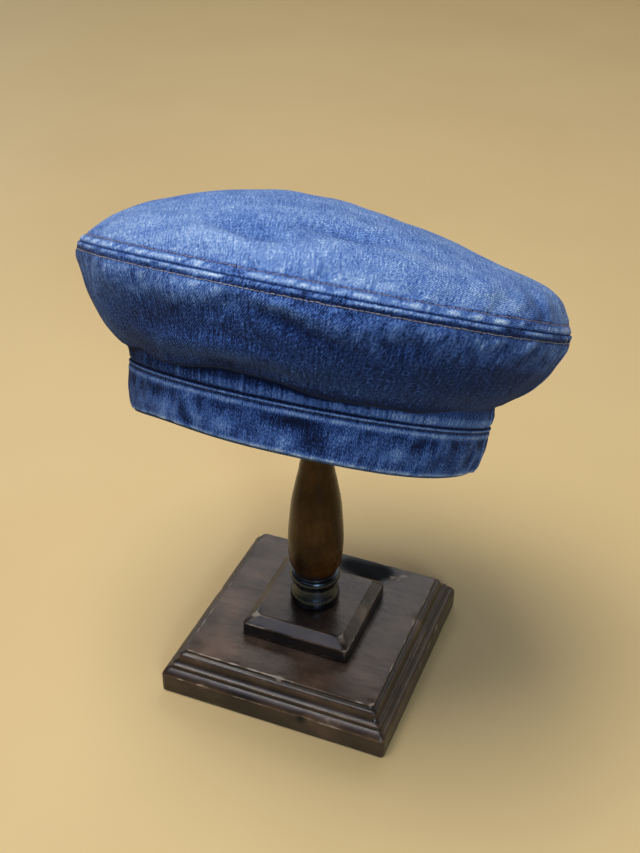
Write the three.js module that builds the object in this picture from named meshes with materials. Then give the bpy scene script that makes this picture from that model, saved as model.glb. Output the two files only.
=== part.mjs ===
// Denim beret resting on a turned wooden hat stand.
// Millimetres, +Z up. The origin is the centre of the stand's underside. X and Y run along the
// base's sides, and the stand's front faces -Y.

import * as THREE from "three";

// Gap kept between neighbouring pieces
const GAP = 0.3;

// Beret: how it sits on the stand
const RIM_CENTRE = new THREE.Vector3(7.1, -38.0, 196.3);
const LEAN_BACK = 28.5;
const TURN = 18.9;

// Beret: cloth and head opening
const CROWN_WALL = 1.6;
const BAND_WALL = 2.6;
const BAND_HEIGHT = 24.5;
const SEAM_HEIGHT = 82.1;

// Facets of the beret: steps round the head, and rows up each piece
const AROUND = 72;
const BAND_STEPS = 4;
const SIDE_STEPS = 13;
const TOP_STEPS = 11;

// Share of the tip's rows over which its dents fade out at the seam
const DENT_FADE = 0.15;

// Sections of the beret above its rim. long and wide are the half-sizes along and across the head,
// shift moves a section towards the back, rise lifts its back and sinks its front, and sag lowers its
// near side
const BAND_ROWS = [
  { name: "rim", z: 0, long: 95.6, wide: 87.2, shift: 0, rise: 0, sag: 0 },
  { name: "rim roll", z: 2.5, long: 97.2, wide: 88.6, shift: 0, rise: 0, sag: 0 },
  { name: "middle", z: 12, long: 99.6, wide: 90.3, shift: -0.4, rise: 0, sag: 0 },
  { name: "band top", z: BAND_HEIGHT, long: 100.6, wide: 91.2, shift: -0.8, rise: 0, sag: 0 },
];
const SIDE_ROWS = [
  { name: "neck foot", z: BAND_HEIGHT + GAP, long: 100.2, wide: 90.8, shift: -0.8, rise: 0, sag: 0 },
  { name: "neck", z: 29.3, long: 101.4, wide: 92.0, shift: -1.2, rise: 0.8, sag: 0.5 },
  { name: "crease", z: 34.0, long: 102.2, wide: 93.5, shift: -1.8, rise: 2.4, sag: 2.0 },
  { name: "belly", z: 38.0, long: 107.4, wide: 102.0, shift: -1.4, rise: 3.6, sag: 4.0 },
  { name: "low side", z: 46.0, long: 117.5, wide: 113.4, shift: -1.3, rise: 3.2, sag: 4.0 },
  { name: "side", z: 56.5, long: 125.7, wide: 122.2, shift: -1.9, rise: 2.0, sag: 3.2 },
  { name: "high side", z: 68.0, long: 131.8, wide: 128.6, shift: -2.8, rise: 0.8, sag: 2.8 },
  { name: "fullest", z: 76.0, long: 134.6, wide: 130.8, shift: -3.4, rise: 0, sag: 2.6 },
  { name: "outer seam", z: SEAM_HEIGHT, long: 134.2, wide: 130.2, shift: -3.4, rise: 0, sag: 2.6 },
];

// Places round the head, in degrees from the back, where the soft rim hangs lower or is pushed up
const RIM_LIFTS = [
  { at: 182, spread: 22, lift: -2.0 },
  { at: 222, spread: 20, lift: 1.4 },
  { at: 305, spread: 32, lift: -2.0 },
];

// Folds of the side panel. at and height place a fold's middle, spread and tall are its reach in degrees
// and millimetres, slant is its climb for each degree, and out is how far it stands out or sinks in
const SIDE_FOLDS = [
  { name: "overhang", at: 246, height: 44, spread: 24, tall: 6, slant: 0.05, out: 2.6 },
  { name: "front hollow", at: 231, height: 55, spread: 13, tall: 8, slant: 0.2, out: -2.4 },
  { name: "diagonal ridge", at: 264, height: 70, spread: 11, tall: 4.5, slant: -0.35, out: 1.6 },
  { name: "diagonal valley", at: 265, height: 63, spread: 11, tall: 4.5, slant: -0.6, out: -2.6 },
  { name: "stitch hollow", at: 287, height: 66, spread: 7, tall: 5, slant: 0.2, out: -1.6 },
  { name: "back hollow", at: 327, height: 55, spread: 14, tall: 8, slant: -0.4, out: -1.4 },
  { name: "far hollow", at: 70, height: 58, spread: 20, tall: 9, slant: 0.2, out: -2.2 },
  { name: "far ridge", at: 120, height: 52, spread: 16, tall: 8, slant: -0.2, out: 2.0 },
];

// Places round the head where the side panel's fold over the neck is lifted or hangs lower. The fold's
// place and reach are shares of the panel's rows
const FOLD_PLACE = 0.32;
const FOLD_REACH = 0.16;
const FOLD_LIFTS = [
  { at: 212, spread: 11, lift: 4.7 },
  { at: 229, spread: 10, lift: 1.5 },
  { at: 245, spread: 10, lift: 5.3 },
  { at: 259, spread: 9, lift: 4.0 },
  { at: 300, spread: 26, lift: -3.2 },
];

// Domed tip: out is the distance from the middle as a share of the seam's radius, and front and
// back are the heights above the seam towards the hat's two ends
const TOP_ROWS = [
  { out: 1.0, front: 0, back: 0 },
  { out: 0.94, front: 9.5, back: 15.5 },
  { out: 0.85, front: 19.0, back: 22.5 },
  { out: 0.7, front: 29.5, back: 28.0 },
  { out: 0.5, front: 39.4, back: 35.2 },
  { out: 0.25, front: 45.8, back: 42.0 },
  { out: 0.04, front: 46.8, back: 46.4 },
];

// Dents and rolls of the tip, placed from the seam's middle. along and across are their reach, turn is
// the direction of along, and up is how far they stand up or sink
const TOP_DENTS = [
  { name: "front dent", x: -36, y: -96, along: 24, across: 11, turn: -20, up: -2.6 },
  { name: "middle dent", x: 12, y: -88, along: 26, across: 12, turn: 2, up: -2.2 },
  { name: "front roll", x: -68, y: -92, along: 26, across: 10, turn: -42, up: 1.8 },
  { name: "near roll", x: -12, y: -116, along: 32, across: 8, turn: -4, up: 1.4 },
  { name: "back pucker", x: 100, y: -74, along: 11, across: 9, turn: 52, up: -2.0 },
  { name: "far dent", x: 20, y: 62, along: 40, across: 22, turn: 10, up: -2.4 },
];

// Stand: heights where its pieces meet
const BASE_TOP = 29;
const PLINTH_TOP = 43;
const POST_TOP = 258;

// Stand: square sections of the base and the plinth, by their half-width
const BASE_ROWS = [
  { name: "underside", z: 0, half: 75 },
  { name: "edge", z: 13.6, half: 75 },
  { name: "slope", z: 16, half: 73.6 },
  { name: "slope's top", z: 17.6, half: 71 },
  { name: "fillet", z: 19.9, half: 70.4 },
  { name: "cove", z: 20.6, half: 68.9 },
  { name: "cove", z: 22.6, half: 67.3 },
  { name: "cove's top", z: 25.4, half: 66.5 },
  { name: "round", z: 26.6, half: 65.2 },
  { name: "round's top", z: 27, half: 63.8 },
  { name: "top edge", z: 28.7, half: 63.5 },
  { name: "top face", z: BASE_TOP, half: 63 },
];
const PLINTH_ROWS = [
  { name: "foot", z: BASE_TOP + GAP, half: 35.7 },
  { name: "edge", z: 38, half: 35.7 },
  { name: "top face", z: PLINTH_TOP, half: 29.5 },
];
const CORNER_RADIUS = 2.5;
const CORNER_STEPS = 3;

// Stand: round sections of the turned post
const POST_ROWS = [
  { name: "foot", z: PLINTH_TOP + GAP, radius: 15.2 },
  { name: "foot", z: 46, radius: 15.9 },
  { name: "foot", z: 50, radius: 15.7 },
  { name: "waist", z: 53.5, radius: 14.2 },
  { name: "waist", z: 57, radius: 13.0 },
  { name: "waist", z: 60, radius: 13.4 },
  { name: "ring", z: 61, radius: 15.2 },
  { name: "ring", z: 63.5, radius: 16.0 },
  { name: "ring", z: 66, radius: 15.0 },
  { name: "neck", z: 67, radius: 13.2 },
  { name: "vase", z: 70, radius: 14.4 },
  { name: "vase", z: 75, radius: 16.4 },
  { name: "vase", z: 83, radius: 17.3 },
  { name: "vase", z: 94, radius: 17.6 },
  { name: "vase", z: 106, radius: 16.9 },
  { name: "vase", z: 121.6, radius: 15.5 },
  { name: "vase", z: 136.8, radius: 12.8 },
  { name: "stem", z: 148, radius: 10.7 },
  { name: "stem", z: 165, radius: 9.8 },
  { name: "collar", z: 240, radius: 12.0 },
  { name: "collar", z: POST_TOP, radius: 15.0 },
];
const POST_SIDES = 28;

// Stand: domed head, a ball cut flat underneath, with its last ring near the pole
const HEAD_RADIUS = 44.1;
const HEAD_CENTRE = 270;
const HEAD_LAST_RING = 84;
const HEAD_SIDES = 32;
const HEAD_STEPS = 8;

const denim = new THREE.MeshStandardMaterial({ color: 0x5f7fb4, roughness: 0.92, metalness: 0 });
const sideDenim = new THREE.MeshStandardMaterial({ color: 0x36486e, roughness: 0.94, metalness: 0 });
const bandDenim = new THREE.MeshStandardMaterial({ color: 0x2c4070, roughness: 0.94, metalness: 0 });
const stainedWood = new THREE.MeshStandardMaterial({ color: 0x2a1a12, roughness: 0.42, metalness: 0 });

const SECTION_COLUMNS = ["z", "long", "wide", "shift", "rise", "sag"];
const radians = THREE.MathUtils.degToRad;

// Reads the named columns of a table at any place between its rows, on smooth curves. The place runs from
// 0 at the first row to 1 at the last
function tableReader(rows, columns) {
  const curves = columns.map((column) => {
    const points = rows.map((row, index) => new THREE.Vector3(row[column], index, 0));
    return new THREE.CatmullRomCurve3(points, false, "catmullrom");
  });
  return (place) => {
    const values = curves.map((curve, index) => [columns[index], curve.getPoint(place).x]);
    return Object.fromEntries(values);
  };
}

// Soft hill, 1 in the middle and near 0 from two spreads out
function bump(distance) {
  return Math.exp(-distance * distance);
}

// Degrees from one place on the hat's round to another, the short way
function turnBetween(angle, degrees) {
  return THREE.MathUtils.euclideanModulo(THREE.MathUtils.radToDeg(angle) - degrees + 180, 360) - 180;
}

// A point on a section of the hat. The angle runs from the back of the hat, and the near side is at 270
function sectionPoint(section, angle) {
  return new THREE.Vector3(
    section.shift + section.long * Math.cos(angle),
    section.wide * Math.sin(angle),
    section.z + section.rise * Math.cos(angle) + section.sag * Math.sin(angle),
  );
}

// Rings of points from an angle function, one ring for each place
function surfaceRings(steps, pointAt) {
  return places(steps).map((place) =>
    Array.from({ length: AROUND }, (_, step) => pointAt(place, (step / AROUND) * 2 * Math.PI)),
  );
}

// Evenly spaced places from 0 to 1
function places(steps) {
  return Array.from({ length: steps + 1 }, (_, step) => step / steps);
}

// Moves a grid of rings inwards by the wall's thickness. Rows marked level move sideways only, so that
// two walls meet on flat faces
function innerRings(rings, thickness, levelRows) {
  const last = rings.length - 1;
  return rings.map((ring, row) =>
    ring.map((point, step) => {
      const before = ring[(step + AROUND - 1) % AROUND];
      const after = ring[(step + 1) % AROUND];
      const below = rings[Math.max(row - 1, 0)][step];
      const above = rings[Math.min(row + 1, last)][step];
      const around = after.clone().sub(before);
      const outward = around.cross(above.clone().sub(below));
      if (levelRows.includes(row)) outward.z = 0;
      return point.clone().addScaledVector(outward.normalize(), -thickness);
    }),
  );
}

// Closed solid through a list of rings. A looped one joins its last ring to its first; the others end
// in fans round each end ring's own middle
function loft(rings, looped) {
  const count = rings[0].length;
  const points = rings.flat();
  const index = [];
  const strips = looped ? rings.length : rings.length - 1;
  for (let row = 0; row < strips; row += 1) {
    const low = row * count;
    const high = ((row + 1) % rings.length) * count;
    for (let step = 0; step < count; step += 1) {
      const next = (step + 1) % count;
      index.push(low + step, low + next, high + next);
      index.push(low + step, high + next, high + step);
    }
  }
  if (!looped) {
    addFan(points, index, rings[0], 0, true);
    addFan(points, index, rings.at(-1), (rings.length - 1) * count, false);
  }
  const geometry = new THREE.BufferGeometry().setFromPoints(points);
  geometry.setIndex(index);
  geometry.computeVertexNormals();
  return geometry;
}

// Closes an end ring with triangles round its middle
function addFan(points, index, ring, first, facesDown) {
  const middle = points.length;
  const centre = new THREE.Vector3();
  ring.forEach((point) => centre.add(point));
  points.push(centre.divideScalar(ring.length));
  for (let step = 0; step < ring.length; step += 1) {
    const next = (step + 1) % ring.length;
    if (facesDown) index.push(middle, first + next, first + step);
    else index.push(middle, first + step, first + next);
  }
}

// Wall of the given thickness behind a band of outer rings that runs round the head
function ringWall(outer, thickness) {
  const inner = innerRings(outer, thickness, [0, outer.length - 1]);
  return loft([...outer, ...inner.reverse()], true);
}

// How far a table of lifts raises the cloth at an angle
function liftAt(lifts, angle) {
  return lifts.reduce((sum, row) => sum + row.lift * bump(turnBetween(angle, row.at) / row.spread), 0);
}

// Head band: its rim is lifted here and there, and its top edge is level
function headBand() {
  const section = tableReader(BAND_ROWS, SECTION_COLUMNS);
  const outer = surfaceRings(BAND_STEPS, (place, angle) => {
    const point = sectionPoint(section(place), angle);
    point.z += (1 - place) * liftAt(RIM_LIFTS, angle);
    return point;
  });
  return ringWall(outer, BAND_WALL);
}

// How far the side panel's folds stand out at a place on it. They fade out at its two sewn edges
function foldAt(place, angle, height) {
  const folds = SIDE_FOLDS.reduce((sum, fold) => {
    const turn = turnBetween(angle, fold.at);
    const line = fold.height + fold.slant * turn;
    return sum + fold.out * bump(turn / fold.spread) * bump((height - line) / fold.tall);
  }, 0);
  return folds * Math.sin(Math.PI * place);
}

// Side panel of the crown, from the band up to the outer seam
function crownSide() {
  const section = tableReader(SIDE_ROWS, SECTION_COLUMNS);
  const outer = surfaceRings(SIDE_STEPS, (place, angle) => {
    const point = sectionPoint(section(place), angle);
    const outward = new THREE.Vector3(Math.cos(angle), Math.sin(angle), 0);
    point.addScaledVector(outward, foldAt(place, angle, point.z));
    const share = bump((place - FOLD_PLACE) / FOLD_REACH) * Math.sin(Math.PI * place);
    point.z += share * liftAt(FOLD_LIFTS, angle);
    return point;
  });
  return ringWall(outer, CROWN_WALL);
}

// How far the tip's dents and rolls stand up at a place on it. They fade out at its sewn edge
function dentAt(place, x, y) {
  const dents = TOP_DENTS.reduce((sum, dent) => {
    const turn = radians(dent.turn);
    const along = (x - dent.x) * Math.cos(turn) + (y - dent.y) * Math.sin(turn);
    const across = (y - dent.y) * Math.cos(turn) - (x - dent.x) * Math.sin(turn);
    return sum + dent.up * bump(along / dent.along) * bump(across / dent.across);
  }, 0);
  return dents * Math.min(1, place / DENT_FADE);
}

// Domed tip of the crown, inside the outer seam
function crownTop() {
  const seam = SIDE_ROWS.at(-1);
  const dome = tableReader(TOP_ROWS, ["out", "front", "back"]);
  const outer = surfaceRings(TOP_STEPS, (place, angle) => {
    const { out, front, back } = dome(place);
    const backShare = (1 + Math.cos(angle)) / 2;
    const edge = sectionPoint(seam, angle);
    const x = seam.shift + (edge.x - seam.shift) * out;
    const y = edge.y * out;
    const height = (edge.z - SEAM_HEIGHT) * out + THREE.MathUtils.lerp(front, back, backShare);
    return new THREE.Vector3(x, y, SEAM_HEIGHT + GAP + height + dentAt(place, x - seam.shift, y));
  });
  const inner = innerRings(outer, CROWN_WALL, [0]);
  return loft([...inner.reverse(), ...outer], false);
}

// Square ring with rounded corners
function squareRing({ z, half }) {
  const ring = [];
  const inset = half - CORNER_RADIUS;
  for (let corner = 0; corner < 4; corner += 1) {
    for (let step = 0; step <= CORNER_STEPS; step += 1) {
      const middle = radians(45 + 90 * corner);
      const angle = radians(90 * corner + (90 * step) / CORNER_STEPS);
      ring.push(
        new THREE.Vector3(
          Math.sign(Math.cos(middle)) * inset + CORNER_RADIUS * Math.cos(angle),
          Math.sign(Math.sin(middle)) * inset + CORNER_RADIUS * Math.sin(angle),
          z,
        ),
      );
    }
  }
  return ring;
}

// Round ring with the given number of sides
function roundRing({ z, radius }, sides) {
  return Array.from({ length: sides }, (_, side) => {
    const angle = (side / sides) * 2 * Math.PI;
    return new THREE.Vector3(radius * Math.cos(angle), radius * Math.sin(angle), z);
  });
}

// Round sections of the domed head, from its flat underside up
function headRows() {
  const lowest = Math.asin((POST_TOP + GAP - HEAD_CENTRE) / HEAD_RADIUS);
  return places(HEAD_STEPS).map((place) => {
    const angle = THREE.MathUtils.lerp(lowest, radians(HEAD_LAST_RING), place);
    return {
      z: HEAD_CENTRE + HEAD_RADIUS * Math.sin(angle),
      radius: HEAD_RADIUS * Math.cos(angle),
    };
  });
}

function named(name, geometry, material) {
  const mesh = new THREE.Mesh(geometry, material);
  mesh.name = name;
  return mesh;
}

const beret = new THREE.Group();
beret.add(
  named("head_band", headBand(), bandDenim),
  named("crown_side", crownSide(), sideDenim),
  named("crown_top", crownTop(), denim),
);
beret.position.copy(RIM_CENTRE);
beret.rotation.set(radians(-LEAN_BACK), 0, radians(TURN), "XYZ");

const stand = new THREE.Group();
stand.add(
  named("stand_base", loft(BASE_ROWS.map(squareRing), false), stainedWood),
  named("stand_plinth", loft(PLINTH_ROWS.map(squareRing), false), stainedWood),
  named("stand_post", loft(POST_ROWS.map((row) => roundRing(row, POST_SIDES)), false), stainedWood),
  named("stand_head", loft(headRows().map((row) => roundRing(row, HEAD_SIDES)), false), stainedWood),
);

const part = new THREE.Group();
part.add(stand, beret);

export default part;
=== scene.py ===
"""Looks of a denim beret on a turned wooden hat stand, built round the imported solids.

The beret is worked out in millimetres in its own frame: the origin is the middle of the rim, X points to the
back of the hat, the near side is at -Y, and Z runs up through the crown. The stand is worked out in
millimetres in the shared frame. Meshes are made in metres in the shared frame.
"""

import math

import bpy
import numpy as np
from mathutils import Euler, Matrix, Vector


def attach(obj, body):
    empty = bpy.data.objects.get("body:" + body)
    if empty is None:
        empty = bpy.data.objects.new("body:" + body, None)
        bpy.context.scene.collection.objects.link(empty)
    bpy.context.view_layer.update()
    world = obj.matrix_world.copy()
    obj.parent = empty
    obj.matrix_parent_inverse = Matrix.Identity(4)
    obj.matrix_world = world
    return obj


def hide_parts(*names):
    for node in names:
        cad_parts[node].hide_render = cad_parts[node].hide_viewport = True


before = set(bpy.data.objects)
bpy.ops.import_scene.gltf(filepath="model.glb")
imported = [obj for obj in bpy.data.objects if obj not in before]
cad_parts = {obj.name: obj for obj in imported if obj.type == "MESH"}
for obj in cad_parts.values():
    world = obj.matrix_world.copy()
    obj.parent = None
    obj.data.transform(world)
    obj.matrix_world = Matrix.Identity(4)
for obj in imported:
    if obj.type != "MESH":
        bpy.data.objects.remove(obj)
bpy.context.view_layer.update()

MM = 0.001

# How the beret sits on the stand
RIM_CENTRE = (7.1, -38.0, 196.3)
LEAN_BACK = 28.5
TURN = 18.9
HAT_TO_ROW = (
    Matrix.Translation(RIM_CENTRE)
    @ Matrix.Rotation(math.radians(-LEAN_BACK), 4, "X")
    @ Matrix.Rotation(math.radians(TURN), 4, "Z")
)

# Cloth and head opening, with the hair's breadth left between sewn edges
GAP = 0.05
CROWN_WALL = 1.6
BAND_WALL = 2.6
BAND_HEIGHT = 24.5
BAND_RADIUS = 97.0
SEAM_HEIGHT = 82.1
DENT_FADE = 0.15

# Steps round the head, and the radius that turns an angle into a length of cloth
AROUND = 600
ANGLES = np.arange(AROUND) / AROUND * 2 * np.pi
DEGREES = np.degrees(ANGLES)
BACKWARD, SIDEWAYS = np.cos(ANGLES), np.sin(ANGLES)
NEAR_STEP = AROUND * 3 // 4
CLOTH_RADIUS = 120.0
FULL_TURN = 2 * np.pi * CLOTH_RADIUS

# Sections of the beret above its rim: half-sizes along and across the head, a shift towards the back, a rise
# that lifts the back and sinks the front, and a sag that lowers the near side
# z, long, wide, shift, rise, sag
BAND_ROWS = [
    (0, 95.6, 87.2, 0, 0, 0),
    (2.5, 97.2, 88.6, 0, 0, 0),
    (12, 99.6, 90.3, -0.4, 0, 0),
    (BAND_HEIGHT, 100.6, 91.2, -0.8, 0, 0),
]
SIDE_ROWS = [
    (BAND_HEIGHT + GAP, 100.2, 90.8, -0.8, 0, 0),
    (29.3, 101.4, 92, -1.2, 0.8, 0.5),
    (34, 102.2, 93.5, -1.8, 2.4, 2),
    (38, 107.4, 102, -1.4, 3.6, 4),
    (46, 117.5, 113.4, -1.3, 3.2, 4),
    (56.5, 125.7, 122.2, -1.9, 2, 3.2),
    (68, 131.8, 128.6, -2.8, 0.8, 2.8),
    (76, 134.6, 130.8, -3.4, 0, 2.6),
    (SEAM_HEIGHT, 134.2, 130.2, -3.4, 0, 2.6),
]

# Places round the rim, in degrees from the back, where it hangs lower or is pushed up
# at, spread, lift
RIM_LIFTS = [
    (182, 22, -2),
    (222, 20, 1.4),
    (305, 32, -2),
]

# Folds of the side panel: the place of the middle, the reach in degrees and millimetres, the climb for each
# degree, and how far the fold stands out
# at, height, spread, tall, slant, out
SIDE_FOLDS = [
    (246, 44, 24, 6, 0.05, 2.6),
    (231, 55, 13, 8, 0.2, -2.4),
    (264, 70, 11, 4.5, -0.35, 1.6),
    (265, 63, 11, 4.5, -0.6, -2.6),
    (287, 66, 7, 5, 0.2, -1.6),
    (327, 55, 14, 8, -0.4, -1.4),
    (70, 58, 20, 9, 0.2, -2.2),
    (120, 52, 16, 8, -0.2, 2),
]

# Finer creases of the side panel, in the same columns
SIDE_CREASES = [
    (262, 63.5, 7, 2.6, -0.65, -1.8),
    (272, 60, 6, 2.4, -0.55, -1.2),
    (264, 70, 9, 3, -0.25, 1.2),
    (238, 62.5, 15, 4, 0.12, -1.9),
    (288, 62.5, 6, 3.5, -0.1, -1.8),
    (278, 67, 5, 3.5, -0.4, 1.2),
    (270, 32.6, 62, 1.8, 0.05, -2.6),
    (229, 31, 2.2, 7, 1.6, 0.9),
    (221, 40.5, 6, 4, 0.1, -1.1),
    (284, 38.5, 9, 3.5, 0, 0.8),
    (308, 39.5, 8, 4, 0, -0.8),
    (252, 52, 12, 3, -0.3, -0.7),
    (300, 57, 12, 3.5, -0.5, -0.8),
    (212, 66, 4, 9, -0.9, -0.6),
    (30, 55, 14, 5, 0.3, -0.8),
    (95, 66, 12, 4, -0.4, -0.8),
    (150, 60, 12, 4.5, 0.4, -0.8),
]

# Places round the head where the side panel's fold over the neck is lifted or hangs lower. The fold's place
# and reach are shares of the side panel's table of sections
FOLD_PLACE = 0.32
FOLD_REACH = 0.16
# at, spread, lift
FOLD_LIFTS = [
    (212, 11, 4.7),
    (229, 10, 1.5),
    (245, 10, 5.3),
    (259, 9, 4),
    (300, 26, -2.2),
]

# Lip along the fold's lower edge on the near side: its place and reach in the same shares, how far it hangs,
# and how far it stands out
LIP_PLACE = 0.365
LIP_REACH = 0.04
LIP_HANG = 2.4
LIP_OUT = 0.8

# Domed tip: the distance from the middle as a share of the seam's radius, and the heights above the seam
# towards the front and the back
# out, front, back
TOP_ROWS = [
    (1, 0, 0),
    (0.94, 9.5, 15.5),
    (0.85, 19, 22.5),
    (0.7, 29.5, 28),
    (0.5, 39.4, 35.2),
    (0.25, 45.8, 42),
    (0.04, 46.8, 46.4),
]
TIP_SHIFT = SIDE_ROWS[-1][3]
MIDDLE_RADIUS = 5.0

# Dents and rolls of the tip: the middle, the reach along and across, the direction, and the height
# x, y, along, across, turn, up
TOP_DENTS = [
    (-36, -96, 24, 11, -20, -2.6),
    (12, -88, 26, 12, 2, -2.2),
    (-68, -92, 26, 10, -42, 1.8),
    (-12, -116, 32, 8, -4, 1.4),
    (100, -74, 11, 9, 52, -2),
    (20, 62, 40, 22, 10, -2.4),
    (-42, -97, 24, 6, -24, -2.8),
    (-52, -109, 34, 5.5, -28, 1.5),
    (2, -86, 26, 6.5, 4, -2.4),
    (12, -104, 32, 6.5, 8, 1.3),
    (-92, -68, 26, 6.5, -40, 1.4),
    (62, -84, 18, 6, 24, -1.6),
    (103, -70, 6, 5, 52, -2.4),
    (-70, 70, 24, 6, 40, -1),
    (84, 58, 22, 6, -36, -1),
]

# Sewn lines: how far the stitches are from the outer seam and from the band's top edge, and the places in
# degrees of the back join, of the stitches that cross the seam beside it, and of a spot worn bare
UPPER_STITCH_AWAY = 5.1
LOWER_STITCH_AWAY = 4.4
BAND_STITCH_AWAY = 2.3
JOIN_AT = 341.0
CROSS_AT = 338.6
BARE_AT = 243.9

# Stitches: the step from one to the next, the share of it that the thread covers, and the thread's width
# pitch, cover, width
UPPER_STITCHES = (2.3, 0.84, 0.48)
LOWER_STITCHES = (2.5, 0.95, 0.44)
CROSS_STITCHES = (2.9, 0.9, 0.5)
BAND_STITCHES = (3.0, 0.86, 0.5)

# Shape of one stitch: places along it, its height in thread widths and its thickness as a share
# place, height, thickness
STITCH_SHAPE = [
    (-0.5, -0.5, 0.45),
    (-0.44, -0.05, 0.85),
    (-0.22, 0.28, 1),
    (0, 0.38, 1),
    (0.22, 0.28, 1),
    (0.44, -0.05, 0.85),
    (0.5, -0.5, 0.45),
]
STITCH_SIDES = 7
THREAD_FLATNESS = 0.85

# How uneven the stitches are: along the line as a share of a step, and sideways and aslant in millimetres
STITCH_JITTER = 0.08
STITCH_SLIP = 0.1
STITCH_SLANT = 0.16

# Rolls of the outer seam: the lean of their worn strokes, the crest's place and width as shares of the
# distance to the stitches, the hollow behind it, how faded it is, how patchy the cloth beyond is, and a seed
# lean, crest_at, crest_wide, hollow, fading, patchy, seed
UPPER_ROLL = (-0.8, 0.44, 0.3, 0.2, 0.55, 0.03, 3245)
LOWER_ROLL = (0.8, 0.32, 0.22, 0.8, 0.75, 0.035, 3140)
ROLL_NOISE_SIZES = (9.0, 2.6, 26.0, 12.0, 28.0)

# Wash of the plain cloth, from 0 for unworn indigo to 1 for white, and of the tip's middle point. The side
# panel and the head band are set darker than the tip, partly as less faded cloth and partly as painted shade
TIP_WASH = 0.52
MIDDLE_WASH = 0.46
SIDE_WASH = 0.32
BAND_WASH = 0.285
BAND_INSIDE_WASH = 0.31
INSIDE_WASH = 0.5

# Worn and dark strokes along the crests of the two rolls: the place round the head, the reach in degrees, and
# how much lighter the cloth is. A crest has a distance from the seam and a width
# at, spread, lighter
UPPER_CREST = (2.3, 1.4)
UPPER_STROKES = [
    (230, 2.6, 0.1),
    (237, 1.2, 0.08),
    (241, 1.5, -0.1),
    (252.5, 2, -0.12),
    (264.5, 2, 0.08),
    (278, 2.5, 0.12),
    (287, 1.5, 0.09),
    (292, 1.2, -0.1),
    (295, 1.6, 0.13),
    (305, 1.5, -0.12),
    (308.5, 1.2, 0.11),
    (317, 3, -0.12),
    (326.5, 1.5, 0.12),
]
LOWER_CREST = (1.4, 0.9)
LOWER_STROKES = [
    (208, 2, 0.12),
    (229, 3.5, 0.1),
    (233.5, 1.2, -0.1),
    (239, 1.2, 0.14),
    (248, 2, 0.11),
    (253, 1.6, -0.14),
    (262, 5, -0.08),
    (272, 1.5, -0.14),
    (277, 3.5, 0.15),
    (289, 4.5, 0.1),
    (301, 2.5, 0.12),
    (310, 2.5, -0.2),
    (320.5, 1.6, 0.13),
]

# Worn and dark patches of the tip, the side panel and the head band, those of the tip and the side panel
# partly painted light and shade: the place round the head and the distance from the sewn edge, the reach in
# degrees and millimetres, and how much lighter the cloth is
# at, away, spread, tall, lighter
TOP_PATCHES = [
    (218, 12, 34, 14, 0.02),
    (323, 3, 12, 4, -0.12),
    (323, 10.5, 5, 6, -0.14),
    (310, 4.5, 3, 3, -0.1),
]
SIDE_PATCHES = [
    (257, 8, 3.5, 4, -0.08),
    (274, 10, 3, 4, -0.07),
    (292, 11, 3, 4, -0.08),
    (229, 71, 2, 4, 0.16),
    (204, 44, 6, 13, 0.16),
    (222, 24, 4, 6, 0.06),
    (256, 48, 5, 6, -0.06),
    (BARE_AT, 1.4, 1, 1.2, -0.16),
    (342, 50, 10, 12, -0.1),
    (235, 6, 18, 19, 0.14),
    (208, 24, 10, 22, 0.1),
    (247, 52, 6, 4, -0.15),
    (302, 34, 22, 12, -0.05),
    (315, 20, 5, 5, -0.12),
    (316, 9, 4, 4, 0.06),
    (326, 7, 8, 4, 0.05),
]
BAND_PATCHES = [
    (218.5, 9.5, 4, 3.5, -0.1),
    (222, 17.5, 5.5, 4.5, 0.09),
    (227, 8, 1.6, 2.5, -0.08),
    (231, 13, 1.5, 8, -0.12),
    (235, 15.5, 1.6, 6, 0.08),
    (238, 9.5, 1.6, 3.5, -0.07),
    (242.5, 8, 2.2, 2.4, -0.1),
    (245, 17.5, 3.5, 4, 0.07),
    (248, 7.8, 2, 2.4, -0.11),
    (259, 9, 1.5, 3, -0.06),
    (264, 18.5, 2.6, 4, 0.12),
    (268, 7.8, 6, 2.4, -0.15),
    (272.5, 14.5, 3.6, 7, -0.12),
    (281.5, 12.5, 4, 3, 0.1),
    (288, 7.4, 2.5, 1.6, -0.1),
    (298, 7.4, 2.5, 1.6, -0.08),
    (298, 16.5, 2.5, 4.5, 0.1),
    (304, 9.5, 2, 3, -0.1),
    (310.5, 9, 1.6, 2.6, -0.09),
]


def read_table(rows, places):
    """Reads a table between its rows on smooth curves, from 0 at its first row to 1 at its last."""
    rows = np.asarray(rows, float)
    padded = np.vstack([2 * rows[0] - rows[1], rows, 2 * rows[-1] - rows[-2]])
    spot = np.asarray(places, float) * (len(rows) - 1)
    step = np.clip(np.floor(spot).astype(int), 0, len(rows) - 2)
    t = (spot - step)[:, None]
    before, start, end, after = (padded[step + k] for k in range(4))
    leave = (end - before) / 2
    arrive = (after - start) / 2
    square = 3 * (end - start) - 2 * leave - arrive
    cube = 2 * (start - end) + leave + arrive
    return start + leave * t + square * t**2 + cube * t**3


def bump(distance):
    """Soft hill, 1 in the middle and near 0 from two spreads out."""
    return np.exp(-np.square(distance))


def ease(start, end, value):
    """Smooth step from 0 at start to 1 at end, which may be the lower of the two."""
    t = np.clip((value - start) / (end - start), 0, 1)
    return t * t * (3 - 2 * t)


def turn_from(degrees):
    """Degrees from a place on the hat's round to each step, the short way."""
    return (DEGREES - degrees + 180) % 360 - 180


def unit(vectors):
    return vectors / np.linalg.norm(vectors, axis=-1, keepdims=True)


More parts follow.
